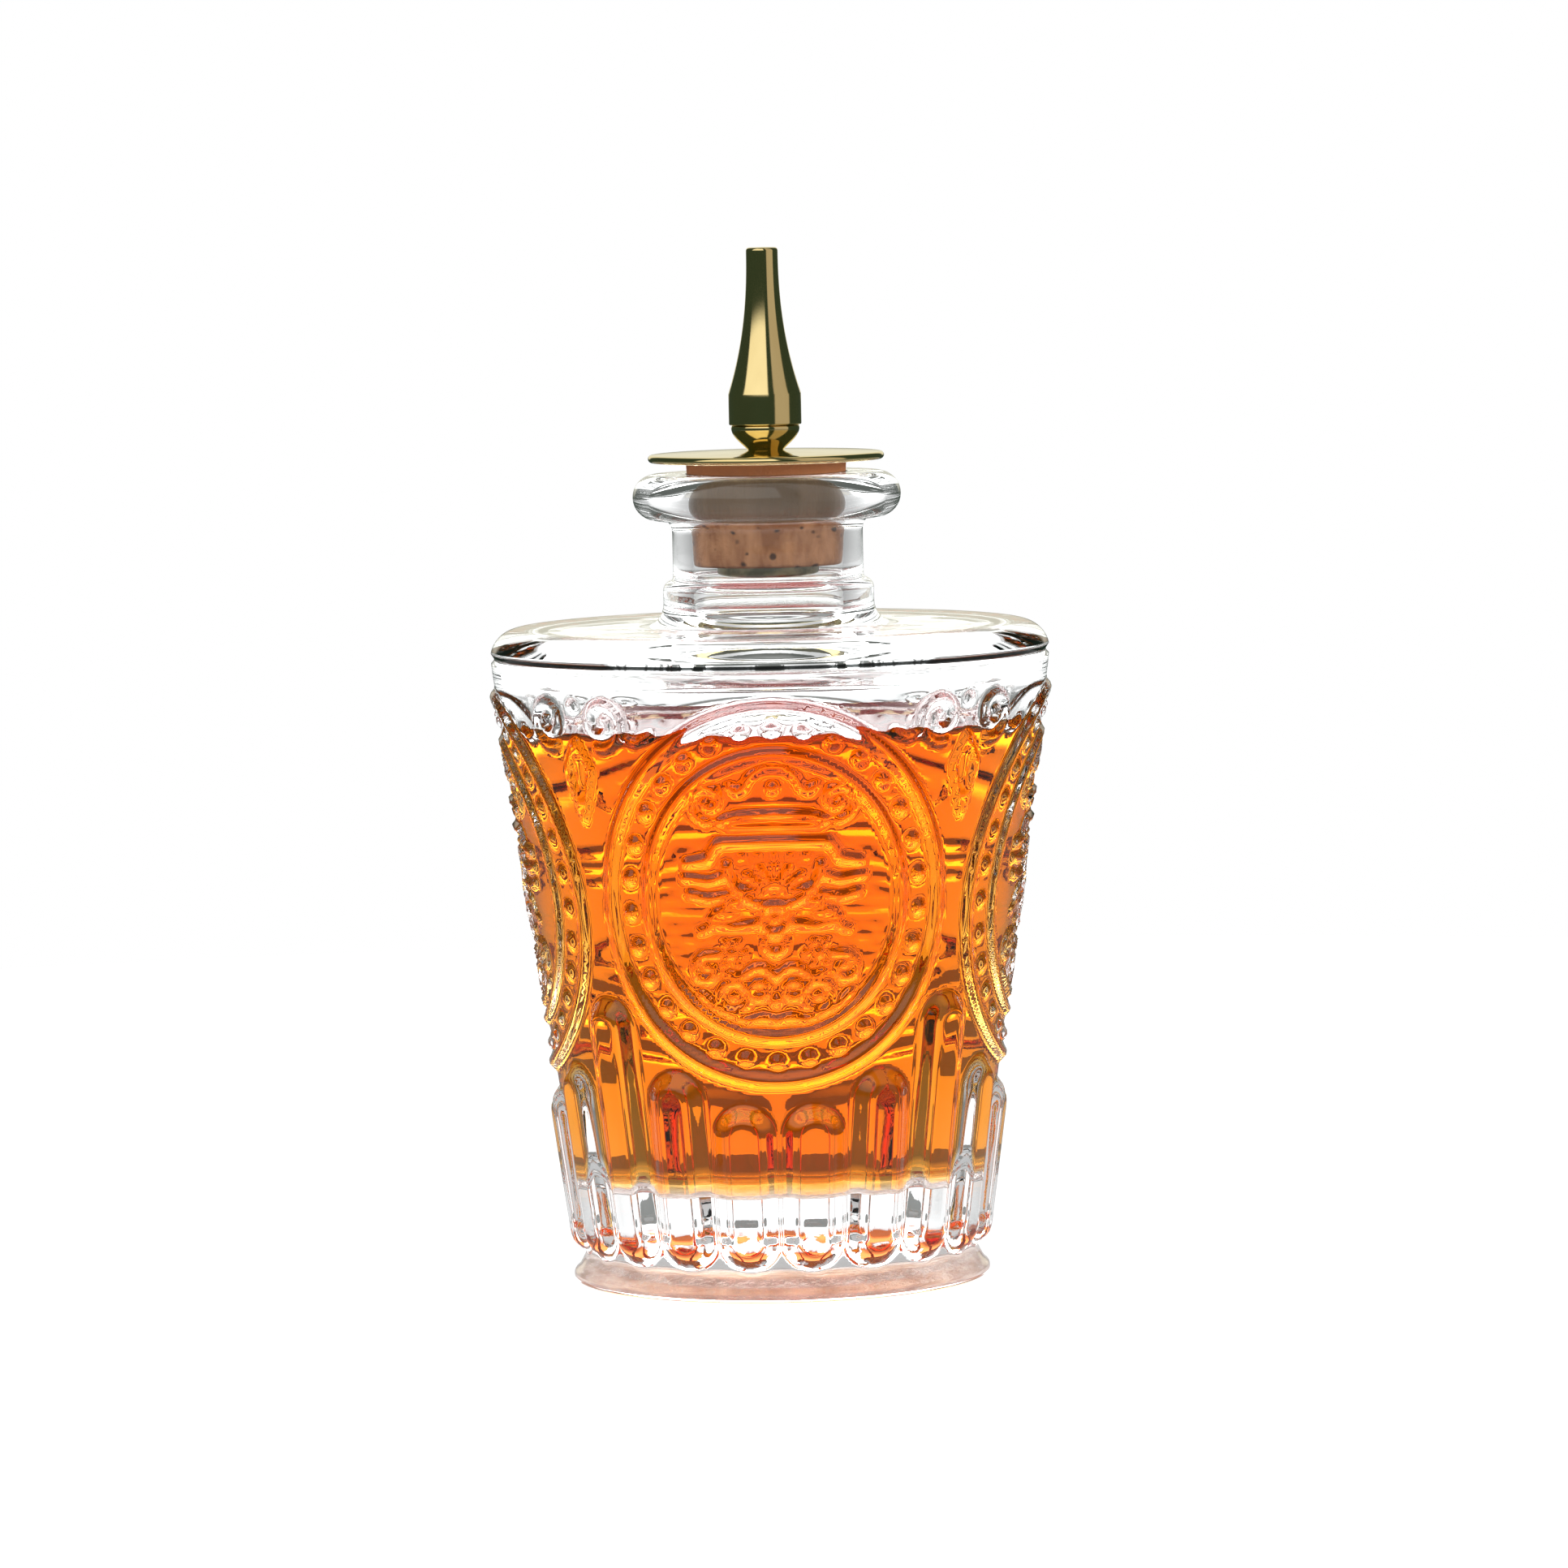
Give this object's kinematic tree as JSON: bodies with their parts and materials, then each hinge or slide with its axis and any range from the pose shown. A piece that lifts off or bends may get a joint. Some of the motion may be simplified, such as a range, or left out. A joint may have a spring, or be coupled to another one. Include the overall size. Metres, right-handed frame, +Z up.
{
  "type": "bitters bottle",
  "caption": "Pressed glass bitters bottle with fluted foot, oval medallions and beading, closed by a cork stopper that carries a tapered metal dasher spout.",
  "frame": {"origin": "centre of the base, on the surface that the bottle stands on", "axes": "+Z up along the bottle's axis; -Y faces the viewer, through the middle of one medallion; +X to the viewer's right"},
  "size_m": [0.067, 0.067, 0.1224],
  "materials": {
    "clear_glass": "gloss",
    "orange_bitters": "gloss",
    "cork": "matte",
    "gilt_metal": "polished",
    "dark_gilt_metal": "satin"
  },
  "bodies": {
    "bottle": {"glass_bottle": "clear_glass", "bitters_fill": "orange_bitters"},
    "stopper": {"cork_sleeve": "cork", "stem_tube": "dark_gilt_metal", "cover_disc": "gilt_metal", "spout_bowl": "gilt_metal"},
    "nozzle": {"spout_nozzle": "gilt_metal"}
  },
  "joints": [
    {"name": "stopper_lift", "type": "slide", "parent": "bottle", "child": "stopper", "axis": [0, 0, 1], "range_m": [0, 0.03]},
    {"name": "nozzle_unscrew", "type": "hinge", "parent": "stopper", "child": "nozzle", "pos_m": [0, 0, 0.103], "axis": [0, 0, 1], "range_deg": [0, 1080]}
  ]
}
